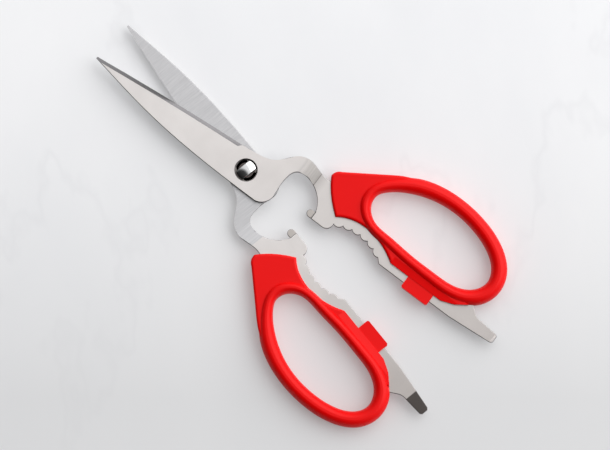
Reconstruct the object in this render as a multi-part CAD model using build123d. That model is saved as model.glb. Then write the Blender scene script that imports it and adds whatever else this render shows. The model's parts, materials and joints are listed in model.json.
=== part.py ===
from build123d import *
import math
import os

# Take-apart poultry shears. Millimetres and degrees.
# Half frame: pivot axis at the origin, +X towards the tail, +Y towards that half's own finger loop,
# Z = 0 on the mid-plane shared by both tangs. The lower half is the upper stamping turned over.

# plate
PLATE_T = 2.5
BLADE_GAP = 0.1
CRANK = (PLATE_T + BLADE_GAP) / 2
CRANK_X0 = 19.3
CRANK_X1 = 27.7
CRANK_SKEW = 0.2
CRANK_R = 3.0
FAR = 200.0

# blade and neck outline
EDGE_START = (-88.0, 0.0)
EDGE_MID = (-45.0, 4.85)
EDGE_HEEL = (-7.2, 8.11)
EDGE_TRIM = 0.066
NECK = [
    (-7.2, 8.11), (2.0, 9.2), (8.0, 11.6), (12.0, 16.0), (16.0, 19.6), (20.5, 20.7), (26.0, 19.5),
    (32.0, 18.6),
]
SPINE = [(0.0, -8.5), (-20.0, -8.15), (-50.0, -5.8), (-82.6, -0.35)]
TIP_END = (-83.0, 0.15)
BEVEL_W = 1.75
EDGE_LAND = 0.12
RUNOUT_C = (-6.6, 5.2)
RUNOUT_R = 2.9
ROOT_CORNER = [(11.0, -8.5), (14.9, -6.5), (16.6, -0.8)]

# cap opening, lifter tongue and serrated jaw
THROAT = [(16.3, 1.7), (16.35, 8.3), (18.3, 12.7), (22.2, 13.9), (27.2, 12.8), (31.8, 9.8), (35.5, 4.0)]
TONGUE_X = 32.4
TONGUE_STEP_X = 35.7
TONGUE_TOP = 3.8
TONGUE_T = 1.3
HEEL_Y = 0.2
HEEL_X = 42.3
HEEL_BULGE = (44.6, 1.6)
JAW_C = (57.3, -16.2)
JAW_R = 23.8
JAW_ANGLE = 120.7
JAW_PITCH = 10.3
JAW_TEETH = 6
JAW_DEPTH = 1.1
JAW_EXIT = (71.6, 2.2)

# tang and tail
TANG_Y = 2.2
TANG_TOP = [(32.0, 18.6), (40.0, 19.5), (50.0, 13.8), (75.0, 11.3), (104.0, 11.3), (111.0, 13.6)]
TAIL_TOP = [(111.0, 13.6), (116.6, 12.3), (119.4, 10.1), (122.5, 9.2)]
TAIL_UPPER = (131.6, 8.5)
TAIL_LOWER = (131.6, 4.0)
TAIL_NOSE = 132.5
TAIL_R = 0.8
TAIL_BREAK = (110.0, TANG_Y)
WEDGE_X = 122.7
WEDGE_END_T = 1.1
TAIL_BEVEL = (1.4, 0.5)
KEY_HOLES = [(39.5, 15.5, 2.2), (47.5, 12.3, 1.6)]

# pivot
POCKET_R = 4.95
POCKET_FLOOR = 1.0
POCKET_RIM = 0.15
STUD_R = 3.5
RUN_CLEAR = 0.06
HEAD_W = 4.7
HEAD_L = 9.5
HEAD_UNDER = 0.05
HEAD_TOP = 3.1
HEAD_DOME_R = 10.0
SLOT_MARGIN = 0.08
RELEASE_OPENING = 110.0
RIVET_R = 2.6
RIVET_HEAD_R = 3.9
RIVET_SINK = 0.9
RIVET_DOME = 0.25

# grip: each bead section is an upright ellipse between an inner and an outer point
BEAD_H = 4.6
BEAD_SECTIONS = [
    ((52.8, 24.8), (47.2, 24.8)), ((54.3, 19.7), (48.9, 17.6)), ((58.5, 16.3), (55.6, 12.2)),
    ((68.0, 14.9), (67.0, 9.9)), ((80.0, 14.0), (79.6, 8.6)), ((94.0, 13.8), (94.3, 8.0)),
    ((105.5, 14.9), (108.2, 9.0)), ((112.3, 19.1), (117.9, 14.5)), ((114.6, 24.5), (121.7, 24.5)),
    ((113.0, 29.6), (119.4, 32.9)), ((107.0, 34.9), (110.9, 40.8)), ((96.0, 39.0), (97.6, 45.8)),
    ((83.0, 40.3), (82.5, 47.3)), ((72.5, 38.7), (70.6, 45.8)), ((65.4, 36.1), (62.2, 42.6)),
    ((60.2, 33.3), (56.9, 38.9)), ((54.9, 29.0), (49.7, 31.3)),
]
BEAD_TILTS = (-82, -66, -45, -22, 0, 22, 45, 66, 82)
COLLAR_H = 3.2
COLLAR_ROUND = 1.1
COLLAR_FRONT = [(44.0, 7.2), (39.4, 11.0), (34.4, 16.4), (31.5, 20.7)]
COLLAR_NOSE = [(31.5, 20.7), (32.0, 22.8), (34.4, 24.9)]
COLLAR_BACK = [(34.4, 24.9), (54.0, 37.9), (67.0, 43.2)]
COLLAR_BURIED = (-3, 7)
ARCH = [(75.5, 5.6), (70.0, 8.6), (57.5, 11.45), (47.6, 9.4), (44.0, 7.2)]
FLANGE_Y = 5.6
FLANGE_TAIL = [(103.0, 5.6), (109.0, 7.9), (114.0, 11.4)]
FLANGE_EDGE_H = 2.6
FLANGE_SLOPE_Y = 8.9
PAD_X = (85.4, 99.3)
PAD_Y = 0.05
PAD_H = 2.4
PAD_CORNER = 0.6

# assembly
HALF_OPEN = 6.9


def edge_curve():
    return ThreePointArc(EDGE_START, EDGE_MID, EDGE_HEEL)


def jaw_point(step, depth):
    spot = Vector(JAW_R - depth, 0, 0).rotate(Axis.Z, JAW_ANGLE - step * JAW_PITCH)
    return Vector(*JAW_C) + spot


def plate_outline():
    cut = edge_curve().trim(EDGE_TRIM, 1)
    nose = (TONGUE_X, (TONGUE_TOP + HEEL_Y) / 2)
    nose_x = TONGUE_X + (TONGUE_TOP - HEEL_Y) / 2
    curves = [cut, Spline(*NECK), Polyline(*TANG_TOP), Spline(*TAIL_TOP)]
    nose_ends = [(TAIL_NOSE, TAIL_UPPER[1] - TAIL_R), (TAIL_NOSE, TAIL_LOWER[1] + TAIL_R)]
    curves.append(Polyline(TAIL_TOP[-1], TAIL_UPPER, *nose_ends, TAIL_LOWER))
    curves.append(Polyline(TAIL_LOWER, TAIL_BREAK, JAW_EXIT, jaw_point(JAW_TEETH, 0)))
    for step in range(JAW_TEETH):
        ends = (jaw_point(step, 0), jaw_point(step + 1, 0))
        curves.append(ThreePointArc(ends[0], jaw_point(step + 0.5, JAW_DEPTH), ends[1]))
    curves.append(ThreePointArc(jaw_point(0, 0), HEEL_BULGE, (HEEL_X, HEEL_Y)))
    curves.append(Line((HEEL_X, HEEL_Y), (nose_x, HEEL_Y)))
    curves.append(ThreePointArc((nose_x, HEEL_Y), nose, (nose_x, TONGUE_TOP)))
    curves.append(Polyline((nose_x, TONGUE_TOP), (TONGUE_STEP_X, TONGUE_TOP), THROAT[-1]))
    curves.append(Spline(*THROAT))
    curves.append(Line(THROAT[0], ROOT_CORNER[-1]))
    curves.append(ThreePointArc(*ROOT_CORNER))
    curves.append(Line(ROOT_CORNER[0], SPINE[0]))
    curves.append(Spline(*SPINE, tangents=[(-1, 0), (-1, 0.18)]))
    curves.append(ThreePointArc(SPINE[-1], TIP_END, cut @ 0))
    return make_face(Wire.combine(curves, 0.01)[0].edges())


def crank_profile():
    low = BLADE_GAP / 2
    high = low + PLATE_T
    path = [
        (-FAR, low), (CRANK_X0, low), (CRANK_X1 - CRANK_SKEW, low - CRANK), (FAR, low - CRANK),
        (FAR, high - CRANK), (CRANK_X1, high - CRANK), (CRANK_X0 + CRANK_SKEW, high), (-FAR, high),
    ]
    face = Plane.XZ * make_face(Polyline(*path, close=True))
    bends = face.vertices().filter_by(lambda v: CRANK_X0 - 1 < v.X < CRANK_X1 + 1)
    return fillet(bends, CRANK_R)


def bevel_cutter():
    path = edge_curve()
    section = Plane(origin=path @ 0, x_dir=(path % 0).rotate(Axis.Z, -90), z_dir=-(path % 0))
    low = BLADE_GAP / 2 + EDGE_LAND
    high = BLADE_GAP / 2 + PLATE_T
    over = 1.1
    profile = Polyline((-over, low), (0, low), (BEVEL_W * over, low + (high - low) * over),
                       (-over, low + (high - low) * over), close=True)
    if section.y_dir.Z < 0:
        section = Plane(origin=path @ 0, x_dir=section.x_dir, z_dir=-section.z_dir)
    wedge = sweep(section * make_face(profile), path=path)
    runout = Pos(*RUNOUT_C, 0) * Cylinder(RUNOUT_R, FAR)
    return wedge - runout


def base_plate():
    plate = extrude(plate_outline(), PLATE_T * 2, both=True) & extrude(crank_profile(), FAR, both=True)
    plate = plate - bevel_cutter()
    length = TONGUE_STEP_X - TONGUE_X + 1
    height = TONGUE_TOP + 1
    for side in (1, -1):
        relief = Box(length, height, PLATE_T)
        spot = Pos(TONGUE_STEP_X - length / 2, TONGUE_TOP + 0.1 - height / 2, side * (TONGUE_T + PLATE_T) / 2)
        plate = plate - spot * relief
    rise = (PLATE_T - WEDGE_END_T) / (TAIL_NOSE - WEDGE_X)
    foot = -PLATE_T / 2
    reach = TAIL_NOSE - WEDGE_X + 1
    wedge = Polyline((WEDGE_X, foot), (WEDGE_X + reach, foot + rise * reach), (WEDGE_X + reach, foot - 1),
                     (WEDGE_X, foot - 1), close=True)
    long, deep = TAIL_BEVEL
    nose = Polyline((TAIL_NOSE - long, -foot), (TAIL_NOSE, -foot - deep), (TAIL_NOSE, -foot), close=True)
    for shape in (wedge, nose):
        plate = plate - extrude(Plane.XZ * make_face(shape), FAR, both=True)
    for x, y, r in KEY_HOLES:
        plate = plate - Pos(x, y, 0) * Cylinder(r, FAR)
    return plate


def head_outline(margin):
    return Circle(HEAD_L / 2 + margin) & Rectangle(HEAD_W + 2 * margin, HEAD_L + 2 * margin)


def with_pocket(plate):
    face = BLADE_GAP / 2
    top = face + PLATE_T
    floor = face + POCKET_FLOOR
    plate = plate - Pos(0, 0, floor) * extrude(Circle(POCKET_R), PLATE_T)
    rim = Pos(0, 0, top - POCKET_RIM / 2) * Cone(POCKET_R, POCKET_R + POCKET_RIM, POCKET_RIM)
    plate = plate - rim
    plate = plate - Cylinder(STUD_R + RUN_CLEAR, FAR)
    slot = extrude(head_outline(SLOT_MARGIN), PLATE_T * 2, both=True)
    return plate - Rot(0, 0, -RELEASE_OPENING) * slot


def with_rivet_hole(plate):
    top = BLADE_GAP / 2 + PLATE_T
    plate = plate - Cylinder(RIVET_R, FAR)
    return plate - Pos(0, 0, top - RIVET_SINK / 2) * Cone(RIVET_R, RIVET_HEAD_R, RIVET_SINK)


def stud():
    # drawn in the lower half's own frame, then turned over with it, so its head points to -Z here
    face = BLADE_GAP / 2
    under = face + POCKET_FLOOR + HEAD_UNDER
    stem = extrude(Circle(STUD_R), under + face)
    stem = Pos(0, 0, -face) * stem
    head = Pos(0, 0, under) * extrude(head_outline(0), HEAD_TOP - under)
    head = head & Pos(0, 0, HEAD_TOP - HEAD_DOME_R) * Sphere(HEAD_DOME_R)
    body = Rot(180, 0, 0) * (stem + head)
    shank = Pos(0, 0, face) * extrude(Circle(RIVET_R), PLATE_T)
    sink = Pos(0, 0, face + PLATE_T - RIVET_SINK / 2) * Cone(RIVET_R, RIVET_HEAD_R, RIVET_SINK)
    dome_r = (RIVET_HEAD_R ** 2 + RIVET_DOME ** 2) / (2 * RIVET_DOME)
    dome = Pos(0, 0, face + PLATE_T + RIVET_DOME - dome_r) * Sphere(dome_r)
    cap = dome & Pos(0, 0, face + PLATE_T + RIVET_DOME) * Box(FAR, FAR, 2 * RIVET_DOME)
    return body + shank + sink + cap


def bead_level(side, tilt):
    # outline of one side of every section at the height reached by turning "tilt" round the ellipse
    spots = []
    for pair in BEAD_SECTIONS:
        middle = (Vector(*pair[0]) + Vector(*pair[1])) / 2
        spots.append(middle + (Vector(*pair[side]) - middle) * math.cos(math.radians(tilt)))
    height = BEAD_H * math.sin(math.radians(tilt))
    return Pos(0, 0, height) * make_face(Spline(*spots, periodic=True))


def bead_ring():
    opening, outside = [loft([bead_level(side, tilt) for tilt in BEAD_TILTS]) for side in (0, 1)]
    return outside - opening


def collar_body():
    low, high = COLLAR_BURIED
    buried = [(Vector(*a) + Vector(*b)) / 2 for a, b in BEAD_SECTIONS[low:] + BEAD_SECTIONS[:high]]
    back = Line(*COLLAR_BACK[:2])
    outer = [Spline(*ARCH), Spline(*COLLAR_FRONT), ThreePointArc(*COLLAR_NOSE), back]
    outer.append(TangentArc(*COLLAR_BACK[1:], tangent=back % 1))
    rest = [Polyline(COLLAR_BACK[-1], *buried, FLANGE_TAIL[-1]), Polyline(*reversed(FLANGE_TAIL))]
    rest.append(Line(FLANGE_TAIL[0], ARCH[0]))
    collar = extrude(make_face(Wire.combine(outer + rest, 0.01)[0].edges()), COLLAR_H, both=True)

    def is_outer(edge):
        spot = edge.center()
        flat = Vector(spot.X, spot.Y, 0)
        on_rim = abs(abs(spot.Z) - COLLAR_H) < 0.01
        return on_rim and min(curve.distance_to(flat) for curve in outer) < 0.01

    collar = fillet(collar.edges().filter_by(is_outer), COLLAR_ROUND)
    slope = Polyline((0, FLANGE_EDGE_H), (FLANGE_Y, FLANGE_EDGE_H), (FLANGE_SLOPE_Y, COLLAR_H),
                     (FLANGE_SLOPE_Y, COLLAR_H * 2), (0, COLLAR_H * 2), close=True)
    cutter = Pos(ARCH[0][0], 0, 0) * extrude(Plane.YZ * make_face(slope), FAR)
    return collar - cutter - mirror(cutter, about=Plane.XY)


def grip_body():
    pad_w = PAD_X[1] - PAD_X[0]
    pad_h = FLANGE_SLOPE_Y - PAD_Y
    pad = extrude(Rectangle(pad_w, pad_h), PAD_H, both=True)
    low = pad.edges().filter_by(Axis.Z).sort_by(Axis.Y)[:2]
    pad = chamfer(low, PAD_CORNER)
    pad = Pos((PAD_X[0] + PAD_X[1]) / 2, PAD_Y + pad_h / 2, 0) * pad
    return bead_ring() + collar_body() + pad


def turned(shape):
    return Rot(180, 0, 0) * shape


plain = base_plate()
grip = grip_body() - plain
halves = {
    "upper_blade": Rot(0, 0, HALF_OPEN) * with_pocket(plain),
    "upper_grip": Rot(0, 0, HALF_OPEN) * grip,
    "lower_blade": Rot(0, 0, -HALF_OPEN) * turned(with_rivet_hole(plain)),
    "lower_grip": Rot(0, 0, -HALF_OPEN) * turned(grip),
    "pivot_stud": Rot(0, 0, -HALF_OPEN) * turned(stud()),
}

box = Compound(children=[Compound(s.solids()) for s in halves.values()]).bounding_box()
shift = Pos(-box.center().X, -box.center().Y, -box.min.Z)
print("pivot at", -box.center().X, -box.center().Y, -box.min.Z, "size", box.size)

os.makedirs("parts", exist_ok=True)
for name, shape in halves.items():
    placed = shift * shape
    print(name, len(placed.solids()), round(placed.volume, 1))
    export_step(placed, f"parts/{name}.step")
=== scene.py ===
import json
import math

import bmesh
import bpy
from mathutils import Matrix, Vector


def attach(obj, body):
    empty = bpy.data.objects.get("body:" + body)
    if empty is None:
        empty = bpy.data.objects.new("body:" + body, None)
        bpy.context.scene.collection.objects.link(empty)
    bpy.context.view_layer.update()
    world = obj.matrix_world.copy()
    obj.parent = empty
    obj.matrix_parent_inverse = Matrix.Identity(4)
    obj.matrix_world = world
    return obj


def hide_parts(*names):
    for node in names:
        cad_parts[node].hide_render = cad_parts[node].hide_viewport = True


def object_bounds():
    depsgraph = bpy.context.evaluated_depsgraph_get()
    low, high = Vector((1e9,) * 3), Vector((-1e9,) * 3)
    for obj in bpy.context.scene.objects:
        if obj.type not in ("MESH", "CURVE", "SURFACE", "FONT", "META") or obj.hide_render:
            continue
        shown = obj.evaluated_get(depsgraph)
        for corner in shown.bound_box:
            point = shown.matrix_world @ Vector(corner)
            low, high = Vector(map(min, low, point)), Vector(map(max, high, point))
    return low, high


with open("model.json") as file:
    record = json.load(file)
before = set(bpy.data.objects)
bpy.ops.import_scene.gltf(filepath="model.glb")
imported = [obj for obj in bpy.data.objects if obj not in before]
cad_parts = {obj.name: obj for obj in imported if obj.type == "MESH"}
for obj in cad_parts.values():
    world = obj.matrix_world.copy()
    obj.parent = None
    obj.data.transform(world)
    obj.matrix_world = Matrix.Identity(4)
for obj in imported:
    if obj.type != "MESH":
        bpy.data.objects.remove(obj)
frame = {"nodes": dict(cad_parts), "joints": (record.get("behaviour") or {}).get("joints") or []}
cad_low, cad_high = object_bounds()

# ---- the frame's own measures ----
MM = 0.001
JOINT = frame["joints"][0]
PIVOT = Vector(JOINT["pos_m"])
HALF_OPEN = math.radians(-JOINT["range_deg"][0] / 2)

# ---- places on one half, along and across its own axis from the pivot ----
TONGUE_BOX = ((31 * MM, 35.6 * MM), (0, 4.1 * MM))
WEDGE_FADE = (122.7 * MM, 123 * MM)
CRANK_START = 19.4 * MM
CRANK_END = 27.7 * MM
BEND_FADE = (CRANK_START - 1.4 * MM, CRANK_START + 2 * MM)
GRIND_FADE = (CRANK_END - 0.4 * MM, CRANK_END)
CREASE_REACH = 4.5 * MM
CREASE_LINE = (0.2 * MM, 0.3 * MM)
POCKET_FADE = (5.1 * MM, 5.25 * MM)
STUD_FADE = (1.2 * MM, 1.3 * MM)
SEAM_FADE = (0.08 * MM, 0.16 * MM)

# ---- where each half starts to darken with painted shade towards its tail, and by how much at the end ----
UPPER_TAIL_SHADE = (-20 * MM, 0.7)
LOWER_TAIL_SHADE = (25 * MM, 0.9)
TAIL_SHADE_END = 140 * MM

# ---- edges ----
EASE = 0.24 * MM
STUD_EASE = 0.18 * MM
EASE_STEPS = 3
WELD = 0.002 * MM
LAND_HEIGHT = 0.4 * MM
LEVEL_Z = 0.9
WALL_Z = 0.35
FLAT_ANGLE = math.radians(0.05)
RIM_ANGLE = math.radians(50)
SHARP_ANGLE = math.radians(38)

# ---- colours: one, or the two that a noise mixes ----
SATIN = ((0.775, 0.735, 0.71), (0.83, 0.79, 0.765))
GROUND = ((0.56, 0.555, 0.56), (0.70, 0.69, 0.695))
GROUND_BAND = (0.5, 0.495, 0.5)
# painted shade on the bent ramp of the neck
BENT_SHADE = ((0.34, 0.325, 0.31), (0.46, 0.44, 0.42))
# painted shadow and dark line along the crease at the crank's end
CREASE_SHADE = (0.15, 0.14, 0.13)
# painted shade darkening each half towards its tail
TAIL_SHADE = (0.42, 0.38, 0.355)
TONGUE = (0.42, 0.38, 0.34)
# painted shade on the sloped driver wedge
WEDGE_SHADE = (0.065, 0.055, 0.05)
# painted shade in the pocket of the upper half
POCKET_SHADE = (0.13, 0.115, 0.105)
# painted shade on the slanted eased edges
SLANTED_SIDE_SHADE = (0.22, 0.215, 0.22)
# painted shade on the upright cut sides, over their dull sheared finish
UPRIGHT_SIDE_SHADE = (0.06, 0.045, 0.04)
STUD = ((0.54, 0.535, 0.53), (0.64, 0.64, 0.64))
STUD_SUNK_SHADE = (0.10, 0.085, 0.08)
RED = ((0.75, 0.0, 0.0), (0.81, 0.0008, 0.0008))
STONE = ((0.56, 0.562, 0.572), (0.60, 0.60, 0.606))
STONE_VEIN = (0.40, 0.40, 0.418)
# painted shade on the floor towards the lower edge of the picture
STONE_LOW_SHADE = (0.38, 0.38, 0.38)
ROOM = (0.98, 0.985, 1.0, 1)

# ---- view ----
VIEW_TURN = math.radians(44)
VIEW_CENTRE = PIVOT + Vector((35.5, 0.7, 0)) * MM
VIEW_TILT = math.radians(5)
VIEW_WIDTH = 269 * MM
LENS = 300
SENSOR = 36

# ---- light and floor ----
KEY_POWER = 25
KEY_LEAN = (1.18, 0.66)
KEY_REACH = 1.6
KEY_SIZE = (2.4, 2.0)
SKY_LEAN = (0.7, 0.66)
SKY_FADE = (-0.2, 0.97)
SKY_LOW = 0.05
SKY_HIGH = 1.29
SHADE_LEAN = (-0.46, -0.49)
SHADE_CORE = math.radians(25)
SHADE_EDGE = math.radians(42)
SHADE_DEPTH = 0.93
FLOOR_REACH = 3.0
FLOOR_GLOW = 0.5
NEAR_REACH = 0.1
NEAR_CURVE = 1.8
NEAR_DEPTH = 0.62


def image_right():
    return Vector((math.cos(VIEW_TURN), math.sin(VIEW_TURN), 0))


def image_up():
    return Vector((-math.sin(VIEW_TURN), math.cos(VIEW_TURN), 0))


def leaning(right, up):
    """A direction near the vertical, leaning by these amounts across the picture."""
    return (right * image_right() + up * image_up() + Vector((0, 0, 1))).normalized()


def add_camera():
    data = bpy.data.cameras.new("camera")
    data.lens = LENS
    data.sensor_width = SENSOR
    camera = bpy.data.objects.new("camera", data)
    bpy.context.scene.collection.objects.link(camera)
    back = math.cos(VIEW_TILT) * Vector((0, 0, 1)) - math.sin(VIEW_TILT) * image_up()
    camera.location = VIEW_CENTRE + VIEW_WIDTH * LENS / SENSOR * back
    camera.rotation_euler = (VIEW_TILT, 0, VIEW_TURN)
    bpy.context.scene.camera = camera


def add_area(name, place, aim, size, power):
    data = bpy.data.lights.new(name, "AREA")
    data.shape = "RECTANGLE"
    data.size, data.size_y = size
    data.energy = power
    light = bpy.data.objects.new(name, data)
    bpy.context.scene.collection.objects.link(light)
    light.location = place
    light.rotation_euler = (place - aim).to_track_quat("Z", "Y").to_euler()


def add_sky():
    """A white room, brighter on the key side, with a dark patch overhead where the photographer stands."""
    world = bpy.data.worlds.new("studio")
    bpy.context.scene.world = world
    world.use_nodes = True
    tree = world.node_tree
    ray = tree.nodes.new("ShaderNodeTexCoord")

    def ramp(axis, start, end, low, high):
        dot = tree.nodes.new("ShaderNodeVectorMath")
        dot.operation = "DOT_PRODUCT"
        dot.inputs[1].default_value = axis
        fade = tree.nodes.new("ShaderNodeMapRange")
        fade.interpolation_type = "SMOOTHSTEP"
        for name, value in (("From Min", start), ("From Max", end), ("To Min", low), ("To Max", high)):
            fade.inputs[name].default_value = value
        tree.links.new(ray.outputs["Generated"], dot.inputs[0])
        tree.links.new(dot.outputs["Value"], fade.inputs["Value"])
        return fade.outputs["Result"]

    room = ramp(leaning(*SKY_LEAN), *SKY_FADE, SKY_LOW, SKY_HIGH)
    shade = ramp(leaning(*SHADE_LEAN), math.cos(SHADE_EDGE), math.cos(SHADE_CORE), 1, 1 - SHADE_DEPTH)
    both = tree.nodes.new("ShaderNodeMath")
    both.operation = "MULTIPLY"
    tree.links.new(room, both.inputs[0])
    tree.links.new(shade, both.inputs[1])
    back = tree.nodes["Background"]
    back.inputs["Color"].default_value = ROOM
    tree.links.new(both.outputs[0], back.inputs["Strength"])


def add_lights():
    add_area("key", VIEW_CENTRE + KEY_REACH * leaning(*KEY_LEAN), VIEW_CENTRE, KEY_SIZE, KEY_POWER)
    add_sky()
    bpy.context.scene.view_settings.view_transform = "Standard"


# ---- material helpers ----
class Nodes:
    """A short way to write one material's node tree."""

    def __init__(self, name):
        self.material = bpy.data.materials.new(name)
        self.material.use_nodes = True
        self.tree = self.material.node_tree
        self.shader = self.tree.nodes["Principled BSDF"]

    def add(self, kind, **settings):
        node = self.tree.nodes.new(kind)
        for key, value in settings.items():
            setattr(node, key, value)
        return node

    def join(self, output, target):
        self.tree.links.new(output, target)

    def split(self, vector):
        """The parts of a vector, as outputs named X, Y and Z."""
        node = self.add("ShaderNodeSeparateXYZ")
        self.join(vector, node.inputs[0])
        return node.outputs

    def coords(self, turn=0.0, stretch=(1, 1, 1)):
        """Object coordinates about the pivot, turned to one half's own axis."""
        source = self.add("ShaderNodeTexCoord").outputs["Object"]
        shift = self.add("ShaderNodeVectorMath", operation="SUBTRACT")
        shift.inputs[1].default_value = PIVOT
        self.join(source, shift.inputs[0])
        spin = self.add("ShaderNodeVectorRotate", rotation_type="Z_AXIS")
        spin.inputs["Angle"].default_value = -turn
        self.join(shift.outputs[0], spin.inputs["Vector"])
        scale = self.add("ShaderNodeVectorMath", operation="MULTIPLY")
        scale.inputs[1].default_value = stretch
        self.join(spin.outputs[0], scale.inputs[0])
        return scale.outputs[0]

    def noise(self, where, scale, detail, rough=0.55):
        node = self.add("ShaderNodeTexNoise")
        node.inputs["Scale"].default_value = scale
        node.inputs["Detail"].default_value = detail
        node.inputs["Roughness"].default_value = rough
        self.join(where, node.inputs["Vector"])
        return node.outputs["Fac"]

    def remap(self, value, low, high, start=0.0, end=1.0):
        """Start at or below low, end at or above high, and even between them."""
        node = self.add("ShaderNodeMapRange")
        node.inputs["From Min"].default_value = low
        node.inputs["From Max"].default_value = high
        node.inputs["To Min"].default_value = start
        node.inputs["To Max"].default_value = end
        self.join(value, node.inputs["Value"])
        return node.outputs["Result"]

    def maths(self, operation, *values):
        node = self.add("ShaderNodeMath", operation=operation)
        for socket, value in zip(node.inputs, values):
            if isinstance(value, (int, float)):
                socket.default_value = value
            else:
                self.join(value, socket)
        return node.outputs[0]

    def times(self, a, b):
        return self.maths("MULTIPLY", a, b)

    def mix(self, amount, a, b):
        """All of a where the amount is 0, and all of b where it is 1."""
        node = self.add("ShaderNodeMix", data_type="RGBA")
        self.join(amount, node.inputs[0])
        for socket, value in ((node.inputs[6], a), (node.inputs[7], b)):
            if isinstance(value, tuple):
                socket.default_value = (*value, 1)
            else:
                self.join(value, socket)
        return node.outputs[2]

    def box_mask(self, place, box, upright):
        """1 inside a plan box given in one half's own frame."""
        (x0, x1), (y0, y1) = box
        y = place["Y"]
        if not upright:
            y = self.times(y, -1)
        mask = self.maths("GREATER_THAN", place["X"], x0)
        mask = self.times(mask, self.maths("LESS_THAN", place["X"], x1))
        mask = self.times(mask, self.maths("GREATER_THAN", y, y0))
        return self.times(mask, self.maths("LESS_THAN", y, y1))

    def bump(self, height, strength, distance, under=None):
        node = self.add("ShaderNodeBump")
        node.inputs["Strength"].default_value = strength
        node.inputs["Distance"].default_value = distance
        self.join(height, node.inputs["Height"])
        if under is not None:
            self.join(under, node.inputs["Normal"])
        return node.outputs["Normal"]


# ---- materials ----
def faces_colour(n, turn, place, inner, across, cloud):
    """Satin outer face, with painted shade where the neck is bent and a painted shadow and dark line along
    the end of the crank, and an inner face that is ground crosswise as far as the crank."""
    bands = n.noise(n.coords(turn, (1, 0.02, 1)), scale=420, detail=2)
    streaks = n.remap(across, 0.36, 0.64)
    satin = n.mix(n.remap(cloud, 0.3, 0.7), *SATIN)
    ground = n.mix(streaks, *GROUND)
    ground = n.mix(n.times(n.remap(bands, 0.35, 0.65), 0.2), ground, GROUND_BAND)
    before_end = n.remap(place["X"], *GRIND_FADE, 1, 0)
    colour = n.mix(n.times(inner, before_end), satin, ground)
    outer = n.remap(inner, 0, 1, 1, 0)
    # painted shade over the bent ramp of the outer face
    bent = n.times(n.remap(place["X"], *BEND_FADE, 0, 0.85), before_end)
    colour = n.mix(n.times(bent, outer), colour, n.mix(streaks, *BENT_SHADE))
    # painted shadow and a painted dark line along the crease at the crank's end
    aside = n.maths("ABSOLUTE", n.maths("SUBTRACT", place["X"], CRANK_END))
    shadow = n.remap(aside, 0, CREASE_REACH, 0.36, 0)
    line = n.remap(aside, *CREASE_LINE, 0.85, 0)
    return n.mix(n.times(n.maths("MAXIMUM", shadow, line), outer), colour, CREASE_SHADE)


def shade_and_tongue_colour(n, turn, place, inner, outer_up, colour):
    """Painted shade towards the tail, on the driver wedge and in the pocket of the upper half, and the
    duller lifter tongue.
    """
    start, depth = UPPER_TAIL_SHADE if outer_up else LOWER_TAIL_SHADE
    # painted shade, darker towards the tail
    colour = n.mix(n.remap(place["X"], start, TAIL_SHADE_END, 0, depth), colour, TAIL_SHADE)
    colour = n.mix(n.times(n.box_mask(place, TONGUE_BOX, outer_up), 0.6), colour, TONGUE)
    # painted shade on the inner face of the driver wedge
    wedge = n.times(inner, n.remap(place["X"], *WEDGE_FADE))
    colour = n.mix(n.times(wedge, 0.93), colour, WEDGE_SHADE)
    if outer_up:
        reach = n.add("ShaderNodeVectorMath", operation="LENGTH")
        n.join(n.coords(turn, (1, 1, 0)), reach.inputs[0])
        # painted shade on the pocket floor of the upper half
        pocket = n.remap(reach.outputs["Value"], *POCKET_FADE, 1, 0)
        colour = n.mix(n.times(pocket, 0.9), colour, POCKET_SHADE)
    return colour


def sides_shade_colour(n, height, colour):
    """The cut sides of the plate, with painted shade darker the steeper they stand, over the upright
    sides' dull sheared finish.
    """
    level = n.maths("ABSOLUTE", height)
    colour = n.mix(n.remap(level, 0.86, 0.985, 0.95, 0), colour, SLANTED_SIDE_SHADE)
    return n.mix(n.remap(level, 0.1, 0.55, 0.9, 0), colour, UPRIGHT_SIDE_SHADE)


def blade_steel(name, turn, outer_up):
    """Stamped stainless plate, with a fine grain on its outer face and a coarse one across its inner."""
    n = Nodes(name)
    fine = n.noise(n.coords(turn, (0.25, 1, 1)), scale=5200, detail=3)
    across = n.noise(n.coords(turn, (1, 0.025, 1)), scale=3300, detail=4, rough=0.75)
    cloud = n.noise(n.coords(turn), scale=70, detail=3)
    place = n.split(n.coords(turn))
    height = n.split(n.add("ShaderNodeTexCoord").outputs["Normal"])["Z"]
    inner = n.remap(height if outer_up else n.times(height, -1), -0.1, 0.1, 1, 0)
    colour = faces_colour(n, turn, place, inner, across, cloud)
    colour = shade_and_tongue_colour(n, turn, place, inner, outer_up, colour)
    n.join(sides_shade_colour(n, height, colour), n.shader.inputs["Base Color"])
    grain = n.mix(inner, fine, across)
    wear = n.maths("ADD", grain, n.times(cloud, 0.5))
    n.join(n.remap(wear, 0.5, 1.0, 0.28, 0.40), n.shader.inputs["Roughness"])
    n.shader.inputs["Metallic"].default_value = 1.0
    n.join(n.bump(grain, 0.3, 0.012 * MM), n.shader.inputs["Normal"])
    return n.material


def stud_steel():
    """Turned and polished stud, with faint marks of wear, and painted shade where it is sunk in the
    pocket.
    """
    n = Nodes("stud_steel")
    scratches = n.noise(n.coords(0.6, (0.05, 1, 1)), scale=5000, detail=3)
    n.join(n.remap(scratches, 0.3, 0.7, 0.10, 0.20), n.shader.inputs["Roughness"])
    height = n.split(n.coords())["Z"]
    # painted shade on the stem sunk in the pocket
    sunk = n.times(n.remap(height, *STUD_FADE, 1, 0), n.maths("GREATER_THAN", height, 0))
    n.join(n.mix(sunk, n.mix(scratches, *STUD), STUD_SUNK_SHADE), n.shader.inputs["Base Color"])
    n.shader.inputs["Metallic"].default_value = 1.0
    n.join(n.bump(scratches, 0.15, 0.01 * MM), n.shader.inputs["Normal"])
    return n.material


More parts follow.
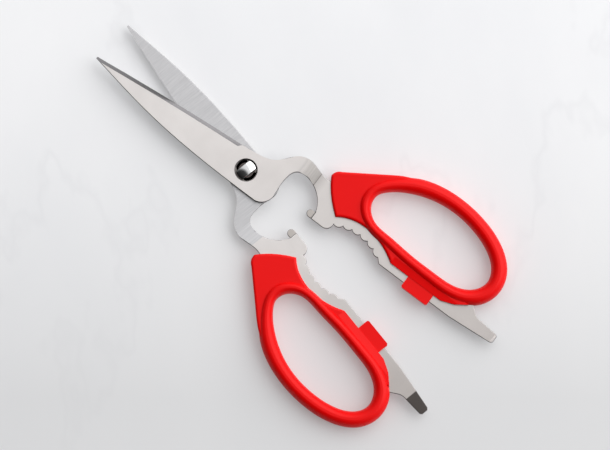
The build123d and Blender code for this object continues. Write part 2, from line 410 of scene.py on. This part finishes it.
def grip_plastic():
    """Red moulded plastic: satin from a fine spark-eroded mould, with a faint parting line."""
    n = Nodes("grip_plastic")
    where = n.coords()
    fine = n.noise(where, scale=3500, detail=2)
    cloud = n.noise(where, scale=45, detail=4)
    n.join(n.mix(cloud, *RED), n.shader.inputs["Base Color"])
    n.shader.inputs["Specular IOR Level"].default_value = 0.17
    n.join(n.remap(n.maths("ADD", fine, cloud), 0.6, 1.4, 0.36, 0.48), n.shader.inputs["Roughness"])
    seam = n.remap(n.maths("ABSOLUTE", n.split(where)["Z"]), *SEAM_FADE, 1, 0)
    texture = n.bump(fine, 0.12, 0.03 * MM)
    n.join(n.bump(seam, 0.5, 0.06 * MM, texture), n.shader.inputs["Normal"])
    return n.material


def floor_material():
    """Pale veined stone, with painted shade towards the lower edge of the picture."""
    n = Nodes("floor")
    cloud = n.noise(n.coords(0.9, (1, 0.6, 1)), scale=9, detail=5)
    folds = n.noise(n.coords(0.9, (1, 0.5, 1)), scale=5, detail=6, rough=0.6)
    vein = n.maths("ABSOLUTE", n.maths("SUBTRACT", folds, 0.5))
    stone = n.mix(n.remap(cloud, 0.35, 0.65), *STONE)
    stone = n.mix(n.remap(vein, 0, 0.012, 0.12, 0), stone, STONE_VEIN)
    depth = n.add("ShaderNodeVectorMath", operation="DOT_PRODUCT")
    depth.inputs[1].default_value = image_up()
    n.join(n.coords(), depth.inputs[0])
    # painted shade, deepening towards the lower edge of the picture
    floor_shade = n.maths("POWER", n.remap(depth.outputs["Value"], -NEAR_REACH, NEAR_REACH, 1, 0), NEAR_CURVE)
    stone = n.mix(n.times(floor_shade, NEAR_DEPTH), stone, STONE_LOW_SHADE)
    n.join(stone, n.shader.inputs["Base Color"])
    n.join(stone, n.shader.inputs["Emission Color"])
    n.shader.inputs["Emission Strength"].default_value = FLOOR_GLOW
    n.shader.inputs["Roughness"].default_value = 0.6
    n.shader.inputs["Specular IOR Level"].default_value = 0.25
    return n.material


# ---- pieces ----
def is_level(edge):
    """An edge between two faces that both lie nearly flat."""
    return len(edge.link_faces) == 2 and all(abs(face.normal.z) > LEVEL_Z for face in edge.link_faces)


def is_sharper(edge, angle):
    return len(edge.link_faces) == 2 and edge.calc_face_angle() > angle


def is_rim(edge):
    """An edge where a wall meets a flat side, but not the thin land along the cutting edge."""
    if not is_sharper(edge, RIM_ANGLE):
        return False
    walls = [face for face in edge.link_faces if abs(face.normal.z) < WALL_Z]
    if len(walls) != 1:
        return False
    heights = [vert.co.z for vert in walls[0].verts]
    return max(heights) - min(heights) > LAND_HEIGHT


def eased_mesh(node, width):
    """The CAD piece's mesh with its sharp edges broken, as tumbling leaves them."""
    shell = bmesh.new()
    shell.from_mesh(frame["nodes"][node].data)
    bmesh.ops.remove_doubles(shell, verts=shell.verts, dist=WELD)
    level = [edge for edge in shell.edges if is_level(edge)]
    bmesh.ops.dissolve_limit(shell, angle_limit=FLAT_ANGLE, verts=[], edges=level)
    rims = [edge for edge in shell.edges if is_rim(edge)]
    bmesh.ops.bevel(shell, geom=rims, offset=width, segments=EASE_STEPS, profile=0.5, affect="EDGES",
                    clamp_overlap=False)
    for edge in shell.edges:
        edge.smooth = not is_sharper(edge, SHARP_ANGLE)
    for face in shell.faces:
        face.smooth = True
    mesh = bpy.data.meshes.new(node + "_eased")
    shell.to_mesh(mesh)
    shell.free()
    return mesh


def eased_copy(node, material, width, body):
    """A new piece that takes the CAD one's place and rides on its body."""
    mesh = eased_mesh(node, width)
    mesh.materials.append(material)
    piece = bpy.data.objects.new(node + "_eased", mesh)
    bpy.context.scene.collection.objects.link(piece)
    normals = piece.modifiers.new("normals", "WEIGHTED_NORMAL")
    normals.keep_sharp = True
    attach(piece, body)
    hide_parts(node)


def paint(node, material):
    """The CAD piece as it is, in this material."""
    mesh = frame["nodes"][node].data
    if not mesh.materials:
        mesh.materials.append(material)
    for index in range(len(mesh.materials)):
        mesh.materials[index] = material


def add_floor():
    mesh = bpy.data.meshes.new("floor")
    corners = [(x * FLOOR_REACH, y * FLOOR_REACH, 0) for x, y in ((-1, -1), (1, -1), (1, 1), (-1, 1))]
    mesh.from_pydata(corners, [], [(0, 1, 2, 3)])
    floor = bpy.data.objects.new("floor", mesh)
    bpy.context.scene.collection.objects.link(floor)
    floor.location.z = cad_low[2]
    mesh.materials.append(floor_material())


add_camera()
add_lights()
add_floor()
upper_steel = blade_steel("upper_steel", HALF_OPEN, True)
lower_steel = blade_steel("lower_steel", -HALF_OPEN, False)
eased_copy("upper_blade", upper_steel, EASE, "upper_half")
eased_copy("lower_blade", lower_steel, EASE, "lower_half")
eased_copy("pivot_stud", stud_steel(), STUD_EASE, "lower_half")
red = grip_plastic()
paint("upper_grip", red)
paint("lower_grip", red)
